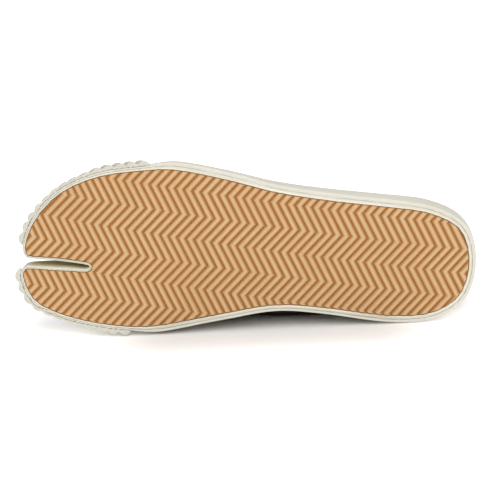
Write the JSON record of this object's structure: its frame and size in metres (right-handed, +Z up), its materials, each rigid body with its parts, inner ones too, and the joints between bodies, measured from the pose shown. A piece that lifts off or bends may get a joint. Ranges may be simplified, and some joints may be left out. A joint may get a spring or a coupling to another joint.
{
  "type": "split-toe sneaker",
  "caption": "Left split-toe sneaker lying on its inner side, with a gum herringbone tread, ivory rubber walls, ribbed toe strips and a black leather slip-on upper.",
  "frame": {"origin": "on the floor, under the middle of the shoe's box as it lies on its inner side", "axes": "+X along the foot from toes to heel, +Y from the tread to the collar, +Z up from the floor, towards the outer side of the foot"},
  "size_m": [0.28, 0.08, 0.1046],
  "materials": {
    "gum_rubber": "satin",
    "ivory_rubber": "satin",
    "black_leather": "satin",
    "footbed_cloth": "matte"
  },
  "bodies": {
    "root": {"outsole": "gum_rubber", "midsole": "ivory_rubber", "foxing": "ivory_rubber", "toe_bumper_outer": "ivory_rubber", "toe_bumper_inner": "ivory_rubber", "upper": "black_leather", "insole": "footbed_cloth"}
  },
  "joints": []
}
